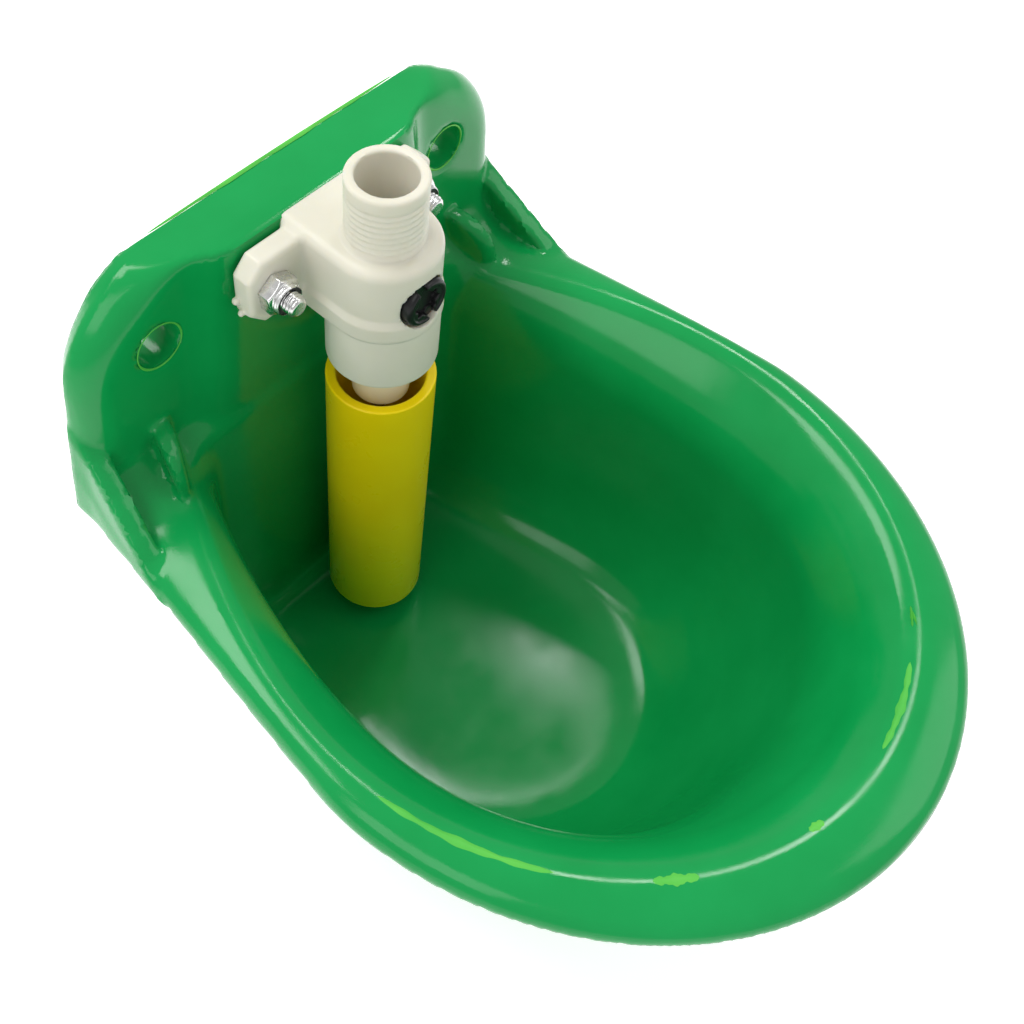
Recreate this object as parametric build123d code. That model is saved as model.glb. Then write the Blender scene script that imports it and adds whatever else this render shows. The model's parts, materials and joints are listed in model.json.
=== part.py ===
from build123d import *
import os
from math import cos, radians, sin

# Wall-hung livestock drinking bowl with a nose-operated tube valve.
# Millimetres. Origin: midway between the two wall-screw holes, on the back
# face. +Z up, the bowl stands out towards -Y, and the object is symmetric in X.

# ---- bowl -------------------------------------------------------------
WALL = 4.0              # moulded wall thickness
RIM_Z = -42.0           # height of the rim's inner crest
FLOOR_Z = -148.0        # lowest point of the cavity
CREST_A = 85.8          # half width of the crest
MID_Y = -109.5          # where the crest is widest
CREST_B = 96.0          # crest reach in front of MID_Y
SHELF_IN = 17.0         # width of the sloping shelf inside the crest
SHELF_DROP = 12.0       # drop of that shelf
LIP_SIDE = 9.0          # overhang of the rolled lip at the sides
LIP_FRONT = 17.0        # overhang of the rolled lip at the front
LIP_DROP = 14.0         # drop of the rolled lip
LIP_SKIRT = 4.0         # straight skirt under the lip

# ---- back plate -------------------------------------------------------
PLATE_TOP = 21.0        # top face of the plate
PLATE_D = 13.5          # wing depth from wall to front
PLATE_TOP_X = 47.0      # half width of the flat top
PLATE_HALF = 78.5       # half width at the shoulders
PLATE_LOW_HALF = 83.0   # half width where the plate meets the rim
BLOCK_Y = -19.2         # seat for the valve flange
BLOCK_HALF = 29.0       # half width of that seat
VALLEY_X = 40.0         # where the seat block meets the wings
WALL_HOLE_X = 52.5      # wall screw holes
WALL_HOLE_R = 6.7
BLEND_R = 20.0          # sweep from the wings into the rim
QUARTER = 0.5523        # handle length that makes a Bezier a quarter ellipse

# ---- valve ------------------------------------------------------------
AXIS_Y = -40.2          # common axis of inlet, stem and tube
THREAD_R = 10.48        # G 1/2 male thread, 20.955 mm over the crests
THREAD_PITCH = 1.814
THREAD_TOP = 41.0
THREAD_LOW = 24.6       # top face of the body block
INLET_R = 7.85
BODY_R = 14.9
FRONT_FLAT_Y = -52.3     # flat on the round front, around the regulator
FLANGE_HALF = 33.0
FLANGE_D = 7.0
FLANGE_TOP = 20.0
FLANGE_CHAMFER = 4.5
BOLT_X = 25.0
BOLT_Z = 10.0
COLLAR_R = 15.4
COLLAR_LOW = -20.4
COLLAR_TOP = -2.0
CHAMBER_R = 9.6
SPIGOT_R = 11.2
SPIGOT_TOP = 0.6
CHAMBER_TOP = 1.0
CHAMBER_FLOOR = -12.0
NOZZLE_R = 8.15
NOZZLE_BORE = 5.4
NOZZLE_LOW = -36.7
SEAT_TOP = -8.5
DISC_R = 8.9
DISC_T = 3.0
BALL_R = 2.2            # ball on top of the stem
BALL_Z = -9.5
STEM_R = 1.5
WEB_Z = -70.0           # hub that hangs the tube on the stem
TUBE_R = 15.6
TUBE_BORE = 12.7
TUBE_TOP = -30.6
TUBE_LOW = -139.0

# ---- flow regulator and fasteners --------------------------------------
REG_Z = 8.4
REG_HEAD_R = 7.0
REG_FACE_Y = -53.8
REG_HEAD_T = 3.0
REG_SHANK_R = 3.0
RUN = 0.05              # radial running clearance
M6_R = 3.0
M6_CLEAR = 3.3
M6_FLAT = 10.0


def on_axis(part):
    """Move a part built about Z onto the valve axis."""
    return Pos(0, AXIS_Y, 0) * part


def rod(radius, z_low, z_high):
    """Upright cylinder about Z between two heights."""
    height = z_high - z_low
    return Pos(0, 0, z_low + height / 2) * Cylinder(radius, height)


def tube(outer, inner, z_low, z_high):
    return rod(outer, z_low, z_high) - rod(inner, z_low - 1, z_high + 1)


def rod_y(radius, y_a, y_b, x, z):
    """Cylinder along Y between two depths."""
    length = abs(y_b - y_a)
    return Pos(x, (y_a + y_b) / 2, z) * Rot(90, 0, 0) * Cylinder(radius, length)


def both(shape):
    """A shape on the right together with its mirror image on the left."""
    return shape + mirror(shape, about=Plane.YZ)


# ---- bowl -------------------------------------------------------------
def plan(z, back_y, back_x, half, front, bulge=0.5):
    """Horizontal outline: straight back, swelling sides, elliptical front."""
    depth = back_y - MID_Y
    corner, widest = (back_x, back_y), (half, MID_Y)
    pull = (back_x + (half - back_x) * bulge, back_y - depth * 0.25)
    lead = (half, MID_Y + depth * 0.45)
    nose, round_x, round_y = (0, MID_Y - front), half * QUARTER, front * QUARTER
    right = [
        Bezier(corner, pull, lead, widest),
        Bezier(widest, (half, MID_Y - round_y), (round_x, MID_Y - front), nose),
    ]
    left_side = [mirror(edge, about=Plane.YZ) for edge in right]
    edges = [Line((-back_x, back_y), corner)] + right + left_side
    return Pos(0, 0, z) * make_face(edges)


def bowl_cavity():
    """Water space: sloping shelf, steep sides and a front that runs out."""
    shelf_z = RIM_Z - SHELF_DROP
    inner_a = CREST_A - SHELF_IN
    shelf = plan(shelf_z, BLOCK_Y - 0.4, 47, inner_a, CREST_B - SHELF_IN, 0.45)
    crest = plan(RIM_Z, BLOCK_Y, 48, CREST_A, CREST_B)
    deep = FLOOR_Z - shelf_z
    lower = [
        shelf,
        plan(shelf_z + deep * 0.4, BLOCK_Y - 0.8, 46.5, inner_a - 2, 64, 0.35),
        plan(shelf_z + deep * 0.8, BLOCK_Y - 1.2, 45, inner_a - 6, 42, 0.3),
        plan(FLOOR_Z, BLOCK_Y - 1.6, 40, inner_a - 14, 22, 0.25),
    ]
    return loft([crest, shelf], ruled=True) + loft(lower)


def bowl_outside():
    """Outer face of the bowl below the rim."""
    top = RIM_Z - WALL
    inner_a = CREST_A - SHELF_IN + WALL + 1
    deep = FLOOR_Z - WALL - top
    back = BLOCK_Y + WALL
    return loft(
        [
            plan(top, back, 53, CREST_A + 1, CREST_B + 1),
            plan(RIM_Z - SHELF_DROP - WALL, back, 52, inner_a, CREST_B - SHELF_IN + WALL + 1, 0.45),
        ],
        ruled=True,
    ) + loft(
        [
            plan(RIM_Z - SHELF_DROP - WALL, back, 52, inner_a, CREST_B - SHELF_IN + WALL + 1, 0.45),
            plan(top + deep * 0.45, back, 51, inner_a - 2, 69, 0.35),
            plan(top + deep * 0.82, back, 49.5, inner_a - 6, 47, 0.3),
            plan(FLOOR_Z - WALL, back - 1.6, 44, inner_a - 13, 27, 0.25),
        ]
    )


def lip(inset):
    """Rolled lip as a solid cap; inset makes its inner face."""
    steps = (0, 30, 60, 90)
    faces = []
    for angle in steps:
        out, down = sin(radians(angle)), 1 - cos(radians(angle))
        faces.append(
            plan(
                RIM_Z - inset - LIP_DROP * down,
                -inset + BLOCK_Y * (1 - out),
                48 + (PLATE_LOW_HALF - 48) * out - inset,
                CREST_A + LIP_SIDE * out - inset,
                CREST_B + LIP_FRONT * out - inset,
            )
        )
    low = RIM_Z - LIP_DROP - LIP_SKIRT - inset
    last = plan(
        low, -inset, PLATE_LOW_HALF - inset, CREST_A + LIP_SIDE - inset, CREST_B + LIP_FRONT - inset
    )
    return loft(faces) + loft([faces[-1], last], ruled=True)


def plate_outline(inset, z_low):
    """Front view of the plate: flat top, round shoulders, slight flare."""
    top, side, low = PLATE_TOP - inset, PLATE_HALF - inset, PLATE_LOW_HALF - inset
    flat = PLATE_TOP_X
    right = [
        Line((0, top), (flat, top)),
        Bezier((flat, top), (flat + 18, top), (side, 9), (side, -10)),
        Line((side, -10), (low, z_low)),
    ]
    left = [mirror(e, about=Plane.YZ) for e in right]
    return Plane.XZ * make_face(right + left + [Line((low, z_low), (-low, z_low))])


def seat_block(inset):
    """Raised seat behind the valve; inset gives its hollow rear."""
    side, valley, front = BLOCK_HALF - inset / 2, VALLEY_X - inset / 2, BLOCK_Y + inset
    corners = [(-valley, 0), (-valley, -10), (-side, front), (side, front), (valley, -10), (valley, 0)]
    outline = make_face(Polyline(*corners, close=True))
    return Pos(0, 0, -60) * extrude(outline, 60 + PLATE_TOP - inset)


def blend():
    """Concave sweep from the right wing down into the rim."""
    y0, z0 = -PLATE_D + 1, RIM_Z - 6
    profile = make_face(
        [
            Line((y0, z0), (y0, RIM_Z + BLEND_R)),
            Line((y0, RIM_Z + BLEND_R), (-PLATE_D, RIM_Z + BLEND_R)),
            RadiusArc((-PLATE_D, RIM_Z + BLEND_R), (-PLATE_D - BLEND_R, RIM_Z), BLEND_R),
            Line((-PLATE_D - BLEND_R, RIM_Z), (-PLATE_D - BLEND_R, z0)),
            Line((-PLATE_D - BLEND_R, z0), (y0, z0)),
        ]
    )
    width = PLATE_LOW_HALF - 4 - 40
    return Pos(40, 0, 0) * extrude(Plane.YZ * profile, width)


def rib(x, reach, height, thick):
    """Triangular web that braces the right wing against the rim."""
    y0 = -PLATE_D + 1
    web = make_face(
        Polyline((y0, RIM_Z - 4), (y0, RIM_Z + height), (-PLATE_D - reach, RIM_Z - 4), close=True)
    )
    return Pos(x - thick / 2, 0, 0) * extrude(Plane.YZ * web, thick)


def make_bowl():
    low = RIM_Z - LIP_DROP - LIP_SKIRT
    plate = extrude(plate_outline(0, low), PLATE_D)
    plate = fillet(plate.faces().sort_by(Axis.Y)[0].edges().filter_by(
        lambda e: e.center().Z > low + 1), 7)
    hollow = extrude(plate_outline(WALL, low - 1), PLATE_D - WALL)
    blends = both(blend() + rib(60, 17, 14, 5) + rib(78, 24, 32, 5))
    shell = (lip(0) - lip(WALL)) + bowl_outside() + plate + seat_block(0) + blends
    cavity = bowl_cavity()
    cavity += extrude(plan(RIM_Z, BLOCK_Y, 48, CREST_A, CREST_B), 60)
    rear = hollow + seat_block(WALL) - Pos(0, MID_Y + BLOCK_Y + WALL, 0) * Box(400, -2 * MID_Y, 400)
    bosses = rod_y(WALL_HOLE_R + 4, 0, -PLATE_D + 1, WALL_HOLE_X, 0)
    holes = rod_y(WALL_HOLE_R, 1, -PLATE_D - 1, WALL_HOLE_X, 0)
    bolt_holes = rod_y(M6_CLEAR, 1, BLOCK_Y - 1, BOLT_X, BOLT_Z)
    bolt_holes += rod_y(6.3, 1, BLOCK_Y + WALL, BOLT_X, BOLT_Z)
    return shell - rear - cavity + both(bosses) - both(holes + bolt_holes)


# ---- valve housing ----------------------------------------------------
def thread_rings(low, high, radius, pitch, depth):
    """Thread shown as a stack of ridges at the real pitch."""
    rings = []
    z = low
    while z + pitch <= high:
        ridge = make_face(
            Polyline(
                (radius - depth - 0.4, z), (radius - depth, z), (radius, z + pitch / 2 - 0.15),
                (radius, z + pitch / 2 + 0.15), (radius - depth, z + pitch),
                (radius - depth - 0.4, z + pitch), close=True,
            )
        )
        rings.append(revolve(Plane.XZ * ridge, Axis.Z))
        z += pitch
    return rings


def make_valve_body():
    """Flanged housing with the threaded inlet, moulded in one piece."""
    flange = make_face(Polyline(
        (-FLANGE_HALF, FLANGE_CHAMFER), (-FLANGE_HALF + FLANGE_CHAMFER, 0),
        (FLANGE_HALF - FLANGE_CHAMFER, 0), (FLANGE_HALF, FLANGE_CHAMFER),
        (FLANGE_HALF, FLANGE_TOP - FLANGE_CHAMFER), (FLANGE_HALF - FLANGE_CHAMFER, FLANGE_TOP),
        (-FLANGE_HALF + FLANGE_CHAMFER, FLANGE_TOP), (-FLANGE_HALF, FLANGE_TOP - FLANGE_CHAMFER),
        close=True,
    ))
    flange = Pos(0, BLOCK_Y, 0) * extrude(Plane.XZ * flange, FLANGE_D)
    block = Rectangle(2 * BODY_R, AXIS_Y * -1 + BLOCK_Y)
    block = Pos(0, (BLOCK_Y + AXIS_Y) / 2) * block + Pos(0, AXIS_Y) * Circle(BODY_R)
    block = Pos(0, 0, COLLAR_TOP) * extrude(block, THREAD_LOW - COLLAR_TOP)
    block = fillet(block.faces().sort_by(Axis.Z)[-1].edges(), 2)
    block = chamfer(block.faces().sort_by(Axis.Z)[0].edges().filter_by(GeomType.CIRCLE), 1.2)
    block -= Pos(0, FRONT_FLAT_Y - 10, 0) * Box(60, 20, 80)
    core = THREAD_R - 1.1
    inlet = on_axis(rod(core, THREAD_LOW - 1, THREAD_TOP))
    inlet += on_axis(rod(THREAD_R, THREAD_TOP - 3.6, THREAD_TOP))
    inlet += on_axis(rod(THREAD_R, THREAD_LOW - 1, THREAD_LOW + 1))
    for ring in thread_rings(THREAD_LOW + 1, THREAD_TOP - 3.4, THREAD_R, THREAD_PITCH, 1.1):
        inlet += on_axis(ring)
    body = flange + block + inlet
    body -= on_axis(rod(INLET_R, 17, THREAD_TOP + 1))
    body -= on_axis(rod(4, CHAMBER_TOP - 1, 18))
    body -= on_axis(rod(SPIGOT_R + RUN, COLLAR_TOP - 1, CHAMBER_TOP))
    body -= rod_y(REG_SHANK_R + RUN, REG_FACE_Y, AXIS_Y, 0, REG_Z)
    body -= rod_y(REG_HEAD_R + 0.2, REG_FACE_Y - 5, REG_FACE_Y + REG_HEAD_T, 0, REG_Z)
    body -= both(rod_y(M6_CLEAR, BLOCK_Y + 1, BLOCK_Y - FLANGE_D - 1, BOLT_X, BOLT_Z))
    return body


def make_collar():
    """Screwed-in lower housing that closes the valve chamber."""
    outer = rod(COLLAR_R, COLLAR_LOW, COLLAR_TOP)
    outer = fillet(outer.edges().group_by(Axis.Z)[0], 1.2)
    collar = outer + rod(SPIGOT_R, COLLAR_TOP - 1, SPIGOT_TOP)
    collar -= tube(SPIGOT_R + 1, SPIGOT_R - 0.9, -1.3, -0.3)
    collar -= rod(CHAMBER_R, CHAMBER_FLOOR, SPIGOT_TOP + 1)
    collar -= rod(NOZZLE_R + RUN, COLLAR_LOW - 1, CHAMBER_FLOOR + 1)
    return on_axis(collar)


def make_nozzle():
    """Outlet nozzle with the flange that carries the valve seat."""
    nozzle = rod(NOZZLE_R, NOZZLE_LOW, CHAMBER_FLOOR + 1) + rod(CHAMBER_R - RUN, CHAMBER_FLOOR, -10)
    nozzle = chamfer(nozzle.edges().group_by(Axis.Z)[0], 0.8)
    return on_axis(nozzle - rod(NOZZLE_BORE, NOZZLE_LOW - 1, 0))


def make_plunger():
    """Sprung valve disc with a socket for the ball of the stem."""
    disc = rod(DISC_R, SEAT_TOP, SEAT_TOP + DISC_T) + rod(3, SEAT_TOP, SEAT_TOP + 5)
    disc += rod(4.2, BALL_Z - 1.2, SEAT_TOP + 1)
    return on_axis(disc - Pos(0, 0, BALL_Z) * Sphere(BALL_R + RUN))


def make_spring():
    """Return spring between the chamber roof and the disc."""
    low, high, wire, coil, turns = SEAT_TOP + DISC_T, CHAMBER_TOP, 0.45, 5.0, 3.5
    path = Helix((high - low - 2 * wire) / turns, high - low - 2 * wire, coil)
    start = Plane(origin=path @ 0, z_dir=path % 0)
    return on_axis(Pos(0, 0, low + wire) * sweep(start * Circle(wire), path=path))


def make_stem():
    """Steel stem with a ball head, a shoulder and a grooved foot."""
    foot = WEB_Z - 6.5
    stem = Pos(0, 0, BALL_Z) * Sphere(BALL_R) + rod(STEM_R, foot, BALL_Z)
    stem += rod(3.2, WEB_Z + 2.0, WEB_Z + 3.2)
    stem -= tube(STEM_R + 1, STEM_R - 0.4, WEB_Z - 3.1, WEB_Z - 2.2)
    return on_axis(stem)


def make_stem_clip():
    """Spring clip in the groove of the stem, under the tube's hub."""
    clip = tube(3.6, STEM_R - 0.35, WEB_Z - 3.0, WEB_Z - 2.3)
    slot = Pos(4, 0, WEB_Z - 2.65) * Box(8, 1.8, 2)
    return on_axis(clip - slot)


def make_push_tube():
    """Nose tube hung on the stem by a three-armed hub inside it."""
    body = tube(TUBE_R, TUBE_BORE, TUBE_LOW, TUBE_TOP)
    body = fillet(body.edges().group_by(Axis.Z)[-1], 0.6)
    hub = rod(4.2, WEB_Z - 1.5, WEB_Z + 1.5)
    for k in range(3):
        hub += Rot(0, 0, 30 + 120 * k) * Pos(8.5, 0, WEB_Z) * Box(9.4, 2.4, 3)
    return on_axis(body + hub - rod(STEM_R + 0.6, WEB_Z - 2, WEB_Z + 2))


def make_strainer():
    """Inlet strainer cup that drops into the bore and stops on its ledge."""
    cup = tube(INLET_R - RUN, 6.4, 22.5, 24) + tube(7.0, 6.0, 17.0, 23) + rod(7.0, 17.0, 18)
    for k in range(12):
        cup -= Rot(0, 0, 30 * k) * Pos(7, 0, 20.2) * Box(4, 1.2, 3.2)
    for x in (-4, -2, 0, 2, 4):
        for y in (-4, -2, 0, 2, 4):
            if x * x + y * y < 26:
                cup -= Pos(x, y, 17.5) * Box(1.1, 1.1, 2)
    return on_axis(cup)


def make_regulator():
    """Flow regulator screw: slotted head outside, metering nose inside."""
    back = REG_FACE_Y + REG_HEAD_T
    screw = rod_y(REG_HEAD_R, REG_FACE_Y, back, 0, REG_Z)
    screw = chamfer(screw.edges().group_by(Axis.Y)[0], 0.6)
    screw += rod_y(REG_SHANK_R, back, -44.4, 0, REG_Z) + rod_y(1.8, -44.4, -41.6, 0, REG_Z)
    groove = rod_y(REG_SHANK_R + 1, -47.5, -45.6, 0, REG_Z) - rod_y(2.0, -48, -45, 0, REG_Z)
    slots = Pos(0, REG_FACE_Y, REG_Z) * (Box(12, 3.6, 2.2) + Box(2.2, 3.6, 12))
    return screw - groove - slots


def ring_seal(major, minor, place):
    return place * Torus(major, minor)


# ---- fasteners --------------------------------------------------------
def hexagon(flat, thick):
    return extrude(RegularPolygon(flat / 2, 6, major_radius=False), thick)


def facing_front(part, y):
    """Turn a part built about +Z to point towards the viewer, at depth y."""
    return Pos(BOLT_X, y, BOLT_Z) * Rot(90, 0, 0) * part


SKIN_Y = BLOCK_Y + WALL
WASHER_T = 1.6
NUT_Y = BLOCK_Y - FLANGE_D
NUT_HEX = 4.6
NUT_H = 6.1
BOLT_TIP_Y = -35.6


def make_bolt():
    under_head = SKIN_Y + WASHER_T
    head = facing_front(hexagon(M6_FLAT, 4), under_head + 4)
    shank = rod_y(M6_R, under_head, BOLT_TIP_Y, BOLT_X, BOLT_Z)
    return head + chamfer(shank.edges().group_by(Axis.Y)[0], 0.6)


def make_washer():
    return facing_front(tube(6.0, M6_CLEAR, 0, WASHER_T), SKIN_Y + WASHER_T)


def make_nut():
    """Lock nut: hexagon with a round crown that holds the nylon ring."""
    nut = hexagon(M6_FLAT, NUT_HEX) & (rod(5.6, 0, NUT_HEX))
    nut += rod(4.7, 0, NUT_H)
    nut -= rod(M6_R + 0.02, -1, NUT_H + 1)
    nut -= rod(3.9, NUT_HEX - 0.4, NUT_H - 0.5)
    return facing_front(nut, NUT_Y)


def make_insert():
    return facing_front(tube(3.88, M6_R + 0.02, NUT_HEX - 0.38, NUT_H - 0.52), NUT_Y)


def left(part):
    return mirror(part, about=Plane.YZ)


parts = {
    "bowl": make_bowl(),
    "valve_body": make_valve_body(),
    "valve_collar": make_collar(),
    "outlet_nozzle": make_nozzle(),
    "seat_washer": on_axis(tube(8.0, NOZZLE_BORE, -10, SEAT_TOP)),
    "collar_seal": ring_seal(10.75, 0.43, Pos(0, AXIS_Y, -0.8)),
    "valve_disc": make_plunger(),
    "return_spring": make_spring(),
    "stem": make_stem(),
    "stem_clip": make_stem_clip(),
    "push_tube": make_push_tube(),
    "inlet_strainer": make_strainer(),
    "regulator_screw": make_regulator(),
    "regulator_seal": ring_seal(2.5, 0.46, Pos(0, -46.55, REG_Z) * Rot(90, 0, 0)),
}
for side, place in (("right", lambda p: p), ("left", left)):
    parts[f"bolt_{side}"] = place(make_bolt())
    parts[f"bolt_washer_{side}"] = place(make_washer())
    parts[f"lock_nut_{side}"] = place(make_nut())
    parts[f"nut_insert_{side}"] = place(make_insert())

os.makedirs("parts", exist_ok=True)
for name, part in parts.items():
    export_step(part, f"parts/{name}.step")
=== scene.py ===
import json
from math import cos, pi, radians, sin

import bpy
import numpy as np
from mathutils import Matrix, Vector


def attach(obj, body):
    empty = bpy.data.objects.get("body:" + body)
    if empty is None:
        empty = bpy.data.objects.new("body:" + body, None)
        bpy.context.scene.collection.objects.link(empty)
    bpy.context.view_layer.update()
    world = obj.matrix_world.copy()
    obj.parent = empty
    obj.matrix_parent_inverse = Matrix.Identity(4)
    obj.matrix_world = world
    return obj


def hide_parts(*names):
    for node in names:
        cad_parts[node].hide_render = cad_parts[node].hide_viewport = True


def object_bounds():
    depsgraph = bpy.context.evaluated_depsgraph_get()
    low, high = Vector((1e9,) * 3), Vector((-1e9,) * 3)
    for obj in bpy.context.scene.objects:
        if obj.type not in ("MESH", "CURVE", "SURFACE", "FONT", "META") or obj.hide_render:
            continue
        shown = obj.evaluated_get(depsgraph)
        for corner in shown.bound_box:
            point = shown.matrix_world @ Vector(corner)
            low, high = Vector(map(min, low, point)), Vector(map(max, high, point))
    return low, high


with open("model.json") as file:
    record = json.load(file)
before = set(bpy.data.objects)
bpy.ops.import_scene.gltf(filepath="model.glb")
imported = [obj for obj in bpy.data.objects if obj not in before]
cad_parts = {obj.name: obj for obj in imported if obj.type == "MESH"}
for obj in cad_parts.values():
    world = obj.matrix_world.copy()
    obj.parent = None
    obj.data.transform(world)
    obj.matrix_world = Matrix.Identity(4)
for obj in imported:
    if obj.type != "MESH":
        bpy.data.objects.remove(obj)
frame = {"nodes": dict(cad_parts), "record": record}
cad_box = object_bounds()
nodes = frame["nodes"]

MM = 0.001
AXIS_Y = -40.2          # valve axis, mm from the wall plane


# ---- camera, lights and floor -----------------------------------------
CAM_PLACE = (-170.9, -197.7, 251.6)
CAM_AZIMUTH, CAM_ELEVATION, CAM_ROLL = -52.2, 56.6, 5.9
CAM_LENS = 45.7
CAM_SHIFT_X = 0.073


def make_camera():
    az, el, roll = map(radians, (CAM_AZIMUTH, CAM_ELEVATION, CAM_ROLL))
    back = Vector((sin(az) * cos(el), -cos(az) * cos(el), sin(el)))
    right = Vector((cos(az), sin(az), 0))
    up = back.cross(right)
    turned_right = right * cos(roll) + up * sin(roll)
    turned_up = up * cos(roll) - right * sin(roll)
    data = bpy.data.cameras.new("camera")
    data.sensor_width = 36
    data.lens = CAM_LENS
    data.shift_x = CAM_SHIFT_X
    data.clip_start = 0.01
    cam = bpy.data.objects.new("camera", data)
    bpy.context.scene.collection.objects.link(cam)
    axes = Matrix((turned_right, turned_up, back)).transposed().to_4x4()
    cam.matrix_world = Matrix.Translation(Vector(CAM_PLACE) * MM) @ axes
    bpy.context.scene.camera = cam


def area_light(name, place, target, size, power):
    data = bpy.data.lights.new(name, "AREA")
    data.shape = "RECTANGLE"
    data.size, data.size_y = size
    data.energy = power
    lamp = bpy.data.objects.new(name, data)
    bpy.context.scene.collection.objects.link(lamp)
    aim = Vector(target) - Vector(place)
    lamp.rotation_euler = aim.to_track_quat("-Z", "Y").to_euler()
    lamp.location = place
    return lamp


def make_studio():
    world = bpy.data.worlds.new("studio")
    world.use_nodes = True
    sky = world.node_tree.nodes["Background"]
    sky.inputs["Color"].default_value = (1, 1, 1, 1)
    sky.inputs["Strength"].default_value = 0.56
    scene = bpy.context.scene
    scene.world = world
    scene.view_settings.view_transform = "Standard"
    area_light("key", (0.58, 0.13, 0.85), (0, -0.11, -0.12), (0.15, 0.17), 1.3)
    area_light("top", (-0.2, 0.6, 1.2), (0, -0.11, -0.10), (0.9, 0.5), 11)
    area_light("side", (-1.0, -0.2, 0.9), (0, -0.11, -0.08), (0.7, 0.7), 4)
    area_light("fill", (0.9, -0.9, 0.9), (0, -0.11, -0.08), (0.8, 0.8), 4)


def make_floor():
    low = cad_box[0][2] - 0.0005
    bpy.ops.mesh.primitive_grid_add(x_subdivisions=4, y_subdivisions=4, size=6, location=(0, 0, low))
    floor = bpy.context.object
    floor.name = "floor"
    mat = bpy.data.materials.new("floor")
    mat.use_nodes = True
    shader = mat.node_tree.nodes["Principled BSDF"]
    shader.inputs["Base Color"].default_value = (0.93, 0.93, 0.93, 1)
    shader.inputs["Roughness"].default_value = 0.9
    shader.inputs["Emission Color"].default_value = (1, 1, 1, 1)
    shader.inputs["Emission Strength"].default_value = 0.45
    floor.data.materials.append(mat)


# ---- materials --------------------------------------------------------
class Shade:
    """A material's nodes, with short names for what is used here."""

    def __init__(self, name, rough, specular=0.5, metallic=0.0):
        self.mat = bpy.data.materials.new(name)
        self.mat.use_nodes = True
        self.tree = self.mat.node_tree
        self.shader = self.tree.nodes["Principled BSDF"]
        self.shader.inputs["Roughness"].default_value = rough
        self.shader.inputs["Specular IOR Level"].default_value = specular
        self.shader.inputs["Metallic"].default_value = metallic
        self.place = self.tree.nodes.new("ShaderNodeTexCoord").outputs["Object"]

    def link(self, a, b):
        self.tree.links.new(a, b)

    def noise(self, scale, detail=3.0, rough=0.5, stretch=(1, 1, 1), distort=0.0):
        """Noise in the piece's own space; scale is in features per metre."""
        mapping = self.tree.nodes.new("ShaderNodeMapping")
        mapping.inputs["Scale"].default_value = stretch
        self.link(self.place, mapping.inputs["Vector"])
        node = self.tree.nodes.new("ShaderNodeTexNoise")
        node.inputs["Scale"].default_value = scale
        node.inputs["Detail"].default_value = detail
        node.inputs["Roughness"].default_value = rough
        node.inputs["Distortion"].default_value = distort
        self.link(mapping.outputs["Vector"], node.inputs["Vector"])
        return node.outputs["Fac"]

    def ramp(self, value, stops):
        node = self.tree.nodes.new("ShaderNodeValToRGB")
        ramp = node.color_ramp
        while len(ramp.elements) < len(stops):
            ramp.elements.new(0.5)
        for element, (at, colour) in zip(ramp.elements, stops):
            element.position = at
            element.color = (*colour, 1)
        self.link(value, node.inputs["Fac"])
        return node.outputs["Color"]

    def spread(self, value, low, high, from_low=0.3, from_high=0.7):
        node = self.tree.nodes.new("ShaderNodeMapRange")
        node.inputs["From Min"].default_value = from_low
        node.inputs["From Max"].default_value = from_high
        node.inputs["To Min"].default_value = low
        node.inputs["To Max"].default_value = high
        self.link(value, node.inputs["Value"])
        return node.outputs["Result"]

    def colour(self, value):
        self.link(value, self.shader.inputs["Base Color"])

    def roughness(self, value):
        self.link(value, self.shader.inputs["Roughness"])

    def bump(self, heights):
        """Chain of (height, depth in metres, strength) bumps."""
        normal = None
        for value, depth, strength in heights:
            node = self.tree.nodes.new("ShaderNodeBump")
            node.inputs["Distance"].default_value = depth
            node.inputs["Strength"].default_value = strength
            self.link(value, node.inputs["Height"])
            if normal:
                self.link(normal, node.inputs["Normal"])
            normal = node.outputs["Normal"]
        self.link(normal, self.shader.inputs["Normal"])


def soft_plastic(name, dark, light, rough, grain=900.0, scatter=0.0, radius=(1, 1, 1)):
    """Moulded plastic: cloudy colour, fine grain, faint flow lines."""
    s = Shade(name, rough, 0.28)
    cloud = s.noise(28, 4, 0.55)
    s.colour(s.ramp(cloud, [(0.3, dark), (0.7, light)]))
    s.roughness(s.spread(s.noise(90, 3), rough - 0.05, rough + 0.07))
    fine, flow = s.noise(grain, 2), s.noise(45, 2, 0.5, (1, 1, 0.35))
    s.bump([(flow, 0.0004, 0.06), (fine, 0.00005, 0.3)])
    if scatter:
        s.shader.inputs["Subsurface Weight"].default_value = scatter
        s.shader.inputs["Subsurface Radius"].default_value = radius
        s.shader.inputs["Subsurface Scale"].default_value = 0.003
    return s.mat


def steel(name, tint, rough, stretch=(1, 1, 1)):
    s = Shade(name, rough, 0.5, 1.0)
    worn = s.noise(160, 4, 0.6)
    dim = tuple(0.78 * c for c in tint)
    s.colour(s.ramp(worn, [(0.3, dim), (0.7, tint)]))
    s.roughness(s.spread(s.noise(420, 3), rough - 0.06, rough + 0.12))
    s.bump([(s.noise(1800, 3, 0.6, stretch), 0.00001, 0.25)])
    return s.mat


def rubber(name):
    s = Shade(name, 0.6, 0.3)
    s.colour(s.ramp(s.noise(220, 3), [(0.35, (0.012, 0.012, 0.012)), (0.7, (0.03, 0.03, 0.03))]))
    s.bump([(s.noise(1500, 3), 0.00005, 0.5)])
    return s.mat


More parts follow.
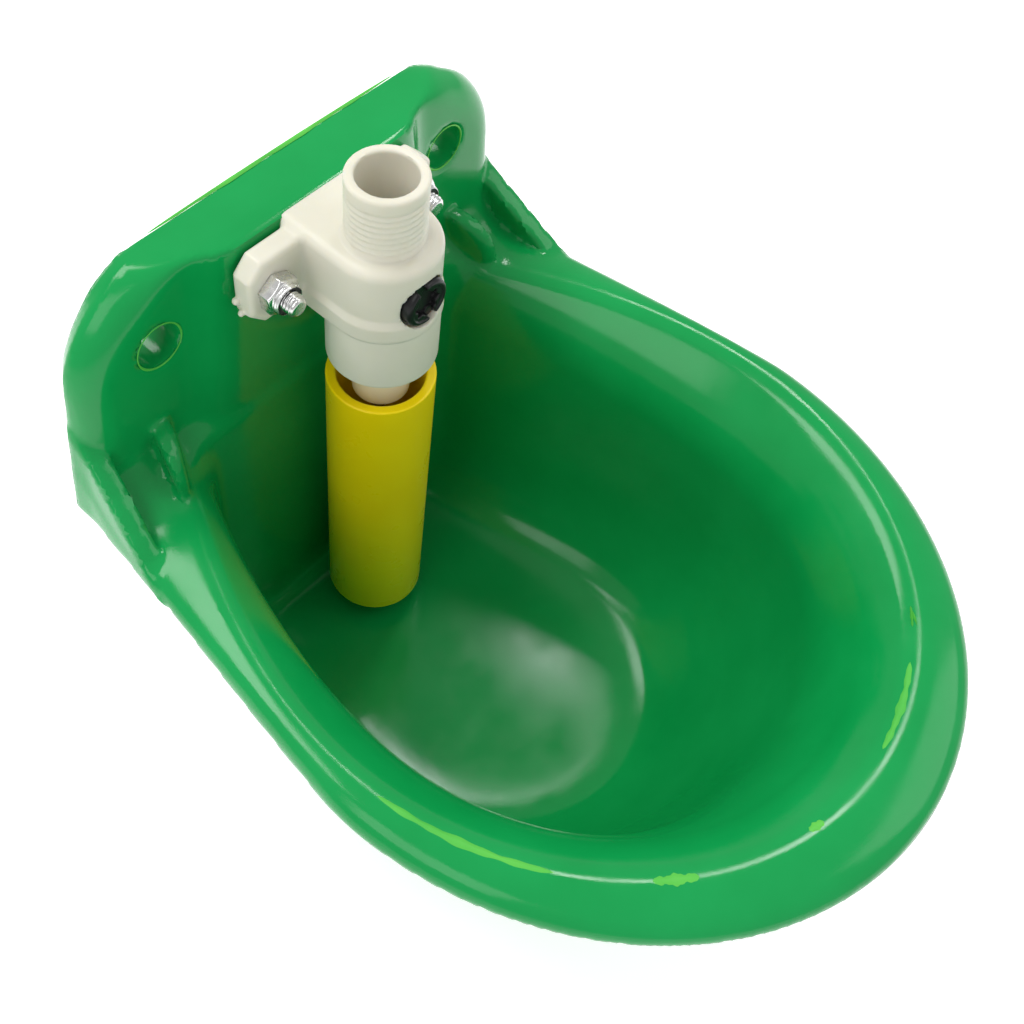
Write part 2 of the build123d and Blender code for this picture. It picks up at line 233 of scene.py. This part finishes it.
MATERIALS = {
    "flash": soft_plastic("flash_green", (0.05, 0.42, 0.05), (0.12, 0.56, 0.07), 0.45),
    "bowl_plastic": soft_plastic("bowl_green", (0.003, 0.28, 0.06), (0.006, 0.32, 0.075), 0.11, 2600),
    "valve_plastic": soft_plastic(
        "valve_white", (0.66, 0.64, 0.53), (0.74, 0.72, 0.62), 0.36, 1200, 0.3, (1, 0.8, 0.5)
    ),
    "collar_plastic": soft_plastic(
        "collar_white", (0.70, 0.68, 0.57), (0.77, 0.75, 0.64), 0.33, 1200, 0.3, (1, 0.9, 0.6)
    ),
    "nozzle_plastic": soft_plastic(
        "nozzle_cream", (0.84, 0.74, 0.48), (0.90, 0.82, 0.60), 0.36, 1200, 0.3, (1, 0.8, 0.4)
    ),
    "tube_plastic": soft_plastic(
        "tube_yellow", (0.96, 0.68, 0.001), (1.0, 0.76, 0.003), 0.3, 700, 0.05, (1, 0.7, 0.1)
    ),
    "regulator_plastic": soft_plastic(
        "regulator_black", (0.006, 0.006, 0.007), (0.014, 0.014, 0.015), 0.35
    ),
    "strainer_plastic": soft_plastic("strainer_white", (0.6, 0.6, 0.57), (0.7, 0.7, 0.67), 0.45),
    "insert_nylon": soft_plastic("nylon_dark", (0.012, 0.012, 0.014), (0.03, 0.03, 0.034), 0.4),
    "seal_rubber": rubber("seal_rubber"),
    "spring_steel": steel("spring_steel", (0.62, 0.62, 0.62), 0.25),
    "stem_steel": steel("stem_steel", (0.58, 0.58, 0.59), 0.3, (1, 1, 0.1)),
    "zinc_steel": steel("zinc_steel", (0.78, 0.78, 0.77), 0.22),
}


# ---- fields: signed distance in millimetres, negative inside -----------
def soft_min(a, b, k):
    h = np.clip(0.5 + 0.5 * (b - a) / k, 0, 1)
    return b + (a - b) * h - k * h * (1 - h)


def soft_max(a, b, k):
    return -soft_min(-a, -b, k)


def net(field, low, high, step):
    """Quad mesh of a field's zero surface: one vertex per crossed cell."""
    axes = [np.arange(a, b + step, step) for a, b in zip(low, high)]
    grid = np.meshgrid(*axes, indexing="ij")
    value = field(*grid).astype(np.float32)
    inside = value < 0
    shape = np.array(value.shape) - 1
    total = np.zeros((*shape, 3), np.float32)
    count = np.zeros(shape, np.int16)
    offsets = [(i, j) for i in (0, 1) for j in (0, 1)]
    for axis in range(3):
        others = [a for a in range(3) if a != axis]
        for pair in offsets:
            start = [slice(0, n) for n in shape]
            for other, shift in zip(others, pair):
                start[other] = slice(shift, shift + shape[other])
            end = list(start)
            end[axis] = slice(1, 1 + shape[axis])
            a, b = value[tuple(start)], value[tuple(end)]
            crossed = (a < 0) != (b < 0)
            share = np.where(crossed, a / np.where(crossed, a - b, 1), 0)
            count += crossed
            total[..., axis] += share
            for other, shift in zip(others, pair):
                total[..., other] += crossed * shift
    used = count > 0
    index = np.full(shape, -1, np.int64)
    index[used] = np.arange(used.sum())
    cell = np.argwhere(used)
    points = (cell + total[used] / count[used][:, None]) * step + np.array(low)
    quads = []
    for axis in range(3):
        b, c = (axis + 1) % 3, (axis + 2) % 3
        start = [slice(1, n) for n in shape]
        start[axis] = slice(0, shape[axis])
        end = list(start)
        end[axis] = slice(1, shape[axis] + 1)
        first, second = inside[tuple(start)], inside[tuple(end)]
        for out_first, flip in ((True, False), (False, True)):
            hits = np.argwhere((first != second) & (first == out_first))
            base = hits + 1
            base[:, axis] -= 1
            corners = []
            for db, dc in ((0, 0), (-1, 0), (-1, -1), (0, -1)):
                at = base.copy()
                at[:, b] += db
                at[:, c] += dc
                corners.append(index[at[:, 0], at[:, 1], at[:, 2]])
            quad = np.stack(corners, 1)
            quads.append(quad[:, ::-1] if flip else quad)
    return settle(points, field, step), np.concatenate(quads)


def settle(points, field, step):
    """Move each vertex along the gradient onto the surface itself."""
    e = 0.05
    for _ in range(3):
        x, y, z = points.T
        value = field(x, y, z)
        slope = np.stack(
            [
                field(x + e, y, z) - field(x - e, y, z),
                field(x, y + e, z) - field(x, y - e, z),
                field(x, y, z + e) - field(x, y, z - e),
            ],
            1,
        ) / (2 * e)
        size = np.maximum((slope**2).sum(1), 0.05)
        move = -slope * (value / size)[:, None]
        length = np.linalg.norm(move, axis=1)[:, None]
        points = points + move * np.minimum(1, 0.5 * step / np.maximum(length, 1e-9))
    return points


# ---- pieces -----------------------------------------------------------
def add_mesh(name, points, faces, slot, sharp=35):
    """Object from points in millimetres, smooth shaded up to an angle."""
    mesh = bpy.data.meshes.new(name)
    mesh.from_pydata(np.asarray(points) * MM, [], np.asarray(faces).tolist())
    mesh.validate()
    mesh.shade_smooth()
    mesh.set_sharp_from_angle(angle=radians(sharp))
    piece = bpy.data.objects.new(name, mesh)
    bpy.context.scene.collection.objects.link(piece)
    piece.data.materials.append(MATERIALS[slot])
    return piece


def add_net(name, field, low, high, step, slot, sharp=35):
    points, faces = net(field, low, high, step)
    return add_mesh(name, points, faces, slot, sharp)


def stands_for(piece, body, *replaced):
    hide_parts(*replaced)
    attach(piece, body)


# ---- bowl -------------------------------------------------------------
RIM_Z, FLOOR_Z, MID_Y = -42.0, -148.0, -109.5
SEAT_Y = -19.2
SHELF_IN, SHELF_DROP = 17.0, 12.0
LIP_DROP, LIP_LOW = 6.5, -50.0
PLATE_TOP, PLATE_D, PLATE_ROUND = 22.0, 13.5, 29.0
SKIN = 3.6


def sides(x, y, half, front, back_x, back_y, swell, mid=MID_Y):
    """Distance to swelling sides and a round front, open at the back."""
    depth = back_y - mid
    t = np.clip((back_y - y) / depth, 0, 1)
    rest = np.maximum(1 - t, 1e-6)
    width = back_x + (half - back_x) * (1 - rest**swell)
    slope = (half - back_x) * swell * rest ** (swell - 1) / depth
    rear = (np.abs(x) - width) / np.sqrt(1 + slope**2)
    ahead = mid - y
    q = np.hypot(x / half, ahead / front)
    g = np.hypot(x / half**2, ahead / front**2)
    nose = q * (q - 1) / np.maximum(g, 1e-5)
    return np.where(ahead > 0, nose, rear)


def crest(x, y):
    return sides(x, y, 85.8, 96.0, 48.0, SEAT_Y, 1.95)


def hollow(x, y, z):
    """Deep bowl, 0 on the wall: upright sides and a front that runs out."""
    reach = np.maximum(MID_Y - y, 0) / 79.0
    t = np.clip((y - MID_Y) / (SEAT_Y - MID_Y), 0, 1)
    half = 69.0 - 20.5 * t**1.9
    top = RIM_Z - SHELF_DROP
    run = np.clip((MID_Y + 20 - y) / 99.0, 0, 1)
    ease = run * run * (3 - 2 * run)
    p, q = 5.4 - 3.1 * ease, 5.4 - 4.3 * ease
    depth = np.maximum(top - z, 0) / (top - FLOOR_Z)
    return np.hypot(x / half, reach) ** p + depth**q - 1


def as_distance(level, x, y, z, step=0.4):
    """Scale a level field so that it reads as a distance near its surface."""
    slope_x = level(x + step, y, z) - level(x - step, y, z)
    slope_y = level(x, y + step, z) - level(x, y - step, z)
    slope_z = level(x, y, z + step) - level(x, y, z - step)
    slope = np.sqrt(slope_x**2 + slope_y**2 + slope_z**2) / (2 * step)
    return level(x, y, z) / np.maximum(slope, 1 / 90)


def cavity(x, y, z):
    """The water space: a sloping shelf over a deep bowl."""
    drop = np.maximum(RIM_Z - z, 0)
    shelf = (crest(x, y) + drop * SHELF_IN / SHELF_DROP) / 1.73
    shelf = soft_max(shelf, -64.0 - z, 6)
    deep = soft_max(as_distance(hollow, x, y, z), FLOOR_Z - z, 4)
    return soft_max(soft_min(shelf, deep, 14), y - SEAT_Y + 0.3 + 0.015 * drop, 7)


def lip(x, y, z):
    """Rolled lip that falls away from the crest to a thin outer edge."""
    inner = soft_max(crest(x, y), y - SEAT_Y, 6)
    outer = sides(x, y, 95.4, 108.0, 75.4, 30.0, 1.12, MID_Y - 5.7)
    across = np.clip(inner, 0, None) / np.maximum(inner - outer, 4)
    rise = np.maximum(z - (RIM_Z - LIP_DROP), 0) / LIP_DROP
    return ((across**2.4 + rise**2.4 + 1e-9) ** (1 / 2.4) - 1) * 9


def side_of_plate(y, z):
    """Half width of the plate: drafted, with the rear edge drawn in."""
    return 77.4 + 0.1 * np.maximum(-5 - z, 0) - 0.8 * np.maximum(5 + y, 0)


def outline(x, y, z):
    qx = np.maximum(np.abs(x) - (side_of_plate(y, z) - PLATE_ROUND), 0)
    qz = np.maximum(z - (PLATE_TOP - PLATE_ROUND), 0)
    return (qx**1.75 + qz**1.75 + 1e-9) ** (1 / 1.75) - PLATE_ROUND


def back_plate(x, y, z):
    front = -PLATE_D - y
    corner = np.clip((np.abs(x) - 38) / 22, 0, 1)
    r = 0.8 + 9.2 * corner * corner * (3 - 2 * corner)
    a, b = outline(x, y, z) + r, front + r
    return np.hypot(np.maximum(a, 0), np.maximum(b, 0)) + np.minimum(np.maximum(a, b), 0) - r


def seat(x, y, z):
    """Raised seat behind the valve, with sloping flanks."""
    flank = np.abs(x) - (31 + 0.13 * (PLATE_TOP - z)) + 1.55 * (SEAT_Y - y)
    return soft_max(flank / 1.85, SEAT_Y - y, 3)


def outer_rib(x, y, z, edge):
    """Straight gusset from the plate's edge down to the rim."""
    slope = (-(y + 9.5) * 20.4 + (z + 22.0) * 26.5) / 33.4
    return soft_max(slope, np.abs(np.abs(x) - edge + 3.2) - 3.2, 1.2)


def inner_rib(x, y, z):
    """Disc-shaped gusset beside the bowl's rear corner."""
    disc = np.hypot(y + PLATE_D, z - RIM_Z) - 15.5
    side = np.abs(np.abs(x) - (57.0 - 0.3 * (y + PLATE_D))) - 2.9
    return soft_max(disc, side, 1.6)


def hole_y(x, z, at_x, at_z, radius):
    return np.hypot(np.abs(x) - at_x, z - at_z) - radius


def bowl(x, y, z):
    body = soft_min(back_plate(x, y, z), lip(x, y, z), 22)
    edge = side_of_plate(y, z) + 0.135 * np.maximum(-12 - y, 0)
    body = soft_max(body, np.abs(x) - edge, 2)
    body = soft_min(body, soft_max(seat(x, y, z), outline(x, y, z), 1), 2.5)
    body = soft_min(body, inner_rib(x, y, z), 1.5)
    body = soft_min(body, outer_rib(x, y, z, edge), 1.5)
    body = soft_max(body, z - PLATE_TOP, 0.8)
    shell = soft_max(body, -(body + SKIN), 0.8)
    shell = soft_max(shell, LIP_LOW - z, 1.5)
    boss = np.maximum(hole_y(x, z, 52.5, 0, 10.5), -PLATE_D + 1 - y)
    water = cavity(x, y, z)
    wall = np.maximum(water - 4.2, body)
    solid = np.minimum(np.minimum(shell, boss), wall)
    solid = soft_max(solid, -water, 3.2)
    solid = soft_max(solid, y, 0.7)
    solid = soft_max(solid, -hole_y(x, z, 52.5, 0, 6.7), 0.5)
    solid = np.maximum(solid, -hole_y(x, z, 25, 10, 3.3))
    spot = np.maximum(hole_y(x, z, 25, 10, 6.3), SEAT_Y + 4 - y)
    return np.maximum(solid, -spot)


def make_bowl():
    low, high = (-97.3, -225.1, -154.3), (97.4, 1.7, 23.3)
    piece = add_net("bowl_moulding", bowl, low, high, 1.6, "bowl_plastic", 50)
    stands_for(piece, "bowl_unit", "bowl")


# ---- valve ------------------------------------------------------------
def ridges(turn, along, pitch):
    """Rounded thread profile, 0 at the crest and 1 in the groove."""
    return 0.5 - 0.5 * np.cos(2 * pi * (along / pitch - turn / (2 * pi)))


def valve(x, y, z):
    """Flange, block and threaded inlet, moulded in one piece."""
    v = y - AXIS_Y
    radius = np.hypot(x, v)
    outline = np.minimum(radius, np.where(v > 0, np.abs(x), radius)) - 14.9
    band = 0.9 * np.clip((5.6 - z) / 2.2, 0, 1)
    block = soft_max(outline - band, z - 21.9, 3)
    block = soft_max(block, -2 - z, 0.8)
    qx, qz = np.abs(x) - 32.6, np.abs(z - 10.1) - 10.3
    ear = np.maximum(np.maximum(qx, qz), (qx + qz + 4.5) / 1.414)
    ear = soft_max(ear, np.abs(y + 22.7) - 3.5, 2)
    solid = soft_min(block, ear, 1.6)
    groove = 0.36 * ridges(np.arctan2(v, x), z, 1.814) * np.clip((37.6 - z) / 0.8, 0, 1)
    inlet = soft_max(radius - 10.48 + groove, z - 41, 0.9)
    solid = soft_min(solid, np.maximum(inlet, 10 - z), 1.5)
    for at_y, at_z, size in ((-21.0, 7.6, 1.1), (-22.6, 4.4, 0.9)):
        nib = np.sqrt((x + 33.1) ** 2 + (y - at_y) ** 2 + (z - at_z) ** 2) - size
        solid = soft_min(solid, nib, 0.4)
    solid = soft_max(solid, -np.maximum(radius - INLET_BORE, 17 - z), 0.8)
    solid = np.maximum(solid, -np.maximum(radius - 4, np.abs(z - 9) - 9))
    solid = np.maximum(solid, -np.maximum(radius - 11.25, z + 1))
    centre = hole_y(x, z, 0, 8.4, 0)
    solid = np.maximum(solid, -np.maximum(centre - 3.05, v))
    solid = np.maximum(solid, -np.maximum(centre - 7.2, y + 50.8))
    solid = soft_max(solid, -np.maximum(centre - 7.5, y + 52.7), 0.3)
    return np.maximum(solid, -hole_y(x, z, 25, 10, 3.3))


INLET_BORE = 7.85


def make_valve():
    low, high = (-36.2, -57.8, -4.1), (36.3, -17.7, 42.9)
    piece = add_net("valve_moulding", valve, low, high, 0.62, "valve_plastic", 45)
    stands_for(piece, "bowl_unit", "valve_body")


def regulator(x, y, z):
    """Flow screw: round head with a slot and a toothed socket."""
    u, v, deep = x, z - 8.4, y + 55.9
    radius = np.hypot(u, v)
    head = soft_max(radius - 7, np.abs(deep - 2.55) - 2.55, 1.6)
    teeth = 3.9 + 0.45 * np.cos(8 * np.arctan2(v, u))
    head = soft_max(head, -np.maximum(radius - 5.4, deep - 0.5), 0.5)
    head = soft_max(head, -np.maximum(radius - teeth, deep - 2.3), 0.4)
    head = soft_max(head, -np.maximum(np.abs(0.94 * u + 0.34 * v) - 1.15, deep - 1.7), 0.4)
    shank = np.where(deep < 11.5, radius - 3, radius - 1.8)
    shank = np.maximum(shank, np.maximum(4 - deep, deep - 14.3))
    groove = np.maximum(2 - radius, np.abs(deep - 9.35) - 0.95)
    return np.maximum(np.minimum(head, shank), -groove)


def make_regulator():
    low, high = (-8.1, -57.3, 0.3), (8.2, -40.5, 16.6)
    piece = add_net("regulator_moulding", regulator, low, high, 0.33, "regulator_plastic", 40)
    stands_for(piece, "regulator", "regulator_screw")


# ---- fasteners --------------------------------------------------------
def hexagon(u, v, half):
    a, b = np.abs(u), np.abs(v)
    return np.maximum(a, 0.5 * a + 0.8660254 * b) - half


def bolt_at(at_x):
    def bolt(x, y, z):
        u, v = x - at_x, z - 10
        radius = np.hypot(u, v)
        out = -y
        thread = 0.42 * ridges(np.arctan2(v, u), out, 1.0) * (out > 25)
        shank = soft_max(radius - 3 + thread, out - 35.6, 0.4)
        shank = soft_max(shank, (radius + out - 37.7) / 1.414, 0.3)
        shank = np.maximum(shank, 12 - out)
        head = np.maximum(hexagon(u, v, 5), np.abs(out - 11.6) - 2)
        return np.minimum(shank, soft_max(head, (radius - out + 4.4) / 1.414, 0.4))
    return bolt


def nut_at(at_x):
    def nut(x, y, z):
        u, v, out = x - at_x, z - 10, -26.2 - y
        turned = 0.3 if at_x > 0 else 0.12
        along, across = u * cos(turned) + v * sin(turned), v * cos(turned) - u * sin(turned)
        radius = np.hypot(u, v)
        body = soft_max(hexagon(along, across, 5), np.abs(out - 2.1) - 2.1, 0.3)
        body = soft_max(body, (radius + 1.6 * out - 11.4) / 1.887, 0.3)
        crown = soft_max(radius - 4.55, np.abs(out - 3.05) - 3.05, 1.4)
        rings = 0.22 * np.exp(-(((out - 4.5) / 0.22) ** 2)) + 0.16 * np.exp(-(((out - 5.25) / 0.2) ** 2))
        body = np.minimum(body, crown + rings)
        body = soft_max(body, 3.02 - radius, 0.2)
        return np.maximum(body, -np.maximum(radius - 3.95, 4.75 - out))
    return nut


def make_fasteners():
    for side, at_x in (("right", 25), ("left", -25)):
        low, high = (at_x - 6.2, -36.7, 3.7), (at_x + 6.3, -8.4, 16.3)
        piece = add_net(f"bolt_threaded_{side}", bolt_at(at_x), low, high, 0.22, "zinc_steel", 75)
        stands_for(piece, "bowl_unit", f"bolt_{side}")
        low, high = (at_x - 6.2, -33.5, 3.7), (at_x + 6.3, -25.1, 16.3)
        piece = add_net(f"nut_crowned_{side}", nut_at(at_x), low, high, 0.25, "zinc_steel", 50)
        stands_for(piece, "bowl_unit", f"lock_nut_{side}")


# ---- moulding flash and marks on the bowl -------------------------------
def strip(name, path, width, height, waves=2.6, closed=False):
    """Thin sliver that lies on the bowl along a path, with uneven edges."""
    path = settle(np.array(path, float), bowl, 1.6)
    count = len(path)
    e = 0.1
    normal = []
    for px, py, pz in path:
        slope = [
            bowl(px + e, py, pz) - bowl(px - e, py, pz),
            bowl(px, py + e, pz) - bowl(px, py - e, pz),
            bowl(px, py, pz + e) - bowl(px, py, pz - e),
        ]
        normal.append(np.array(slope) / np.linalg.norm(slope))
    points, faces = [], []
    for k in range(count):
        ahead = path[(k + 1) % count] if closed else path[min(k + 1, count - 1)]
        behind = path[(k - 1) % count] if closed else path[max(k - 1, 0)]
        side = np.cross(ahead - behind, normal[k])
        side /= max(np.linalg.norm(side), 1e-9)
        t = k / (count - 1)
        taper = 1.0 if closed else sin(pi * t) ** 0.45 + 0.04
        uneven = 1 + 0.22 * sin(waves * t * 6.1) + 0.12 * sin(waves * t * 15.7 + 1)
        for j in range(5):
            across = (j - 2) / 2
            lift = height * (1 - across**2) - 0.05
            points.append(path[k] + side * across * width / 2 * taper * uneven + normal[k] * lift * taper)
    for k in range(count if closed else count - 1):
        for j in range(4):
            a, b = 5 * k + j, 5 * ((k + 1) % count) + j
            faces.append((a, b, b + 1, a + 1))
    piece = add_mesh(name, points, faces, "bowl_plastic", 60)
    piece.data.materials[0] = MATERIALS["flash"]
    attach(piece, "bowl_unit")


def crest_arc(start, end, outward, count=26):
    """Points beside the crest, by angle in degrees from the very front."""
    arc = np.radians(np.linspace(start, end, count))
    a, b = 85.8 + outward, 96.0 + outward
    return [(a * sin(t), MID_Y - b * cos(t), RIM_Z + 0.2) for t in arc]


def make_marks():
    strip("flash_crest_near", crest_arc(-82, -55, 1.6, 40), 2.0, 0.25)
    strip("flash_crest_front", crest_arc(-41, -34, 1.6), 2.6, 0.22)
    strip("flash_crest_spot", crest_arc(-14.5, -11.5, 0.4, 10), 2.2, 0.25)
    strip("flash_crest_far", crest_arc(6, 24, -0.8, 36), 1.8, 0.25)
    strip("nick_long", crest_arc(31, 35, -0.3, 12), 0.7, 0.7)
    strip("nick_cross", [(45.2 + 0.8 * k, -192.4 + 0.9 * k, RIM_Z) for k in range(5)], 0.6, 0.6)
    for side in (-1, 1):
        ring = [
            (side * 52.5 + 6.95 * cos(t), -14.0, 6.95 * sin(t)) for t in np.linspace(0, 2 * pi, 61)[:-1]
        ]
        strip(f"hole_flash_{'left' if side < 0 else 'right'}", ring, 0.5, 0.22, 2.0, True)
    top = [(x, -0.35, PLATE_TOP) for x in np.linspace(-42, 44, 60)]
    strip("flash_back_edge", top, 1.3, 0.8, 4.0)


# ---- carried-over nodes -------------------------------------------------
def finish_cad_nodes():
    slots = {part["node"]: part["material_slot"] for part in frame["record"]["subparts"]}
    for name, node in nodes.items():
        node.data.materials.clear()
        node.data.materials.append(MATERIALS[slots[name]])


make_camera()
make_studio()
make_floor()
finish_cad_nodes()
make_bowl()
make_valve()
make_regulator()
make_fasteners()
make_marks()
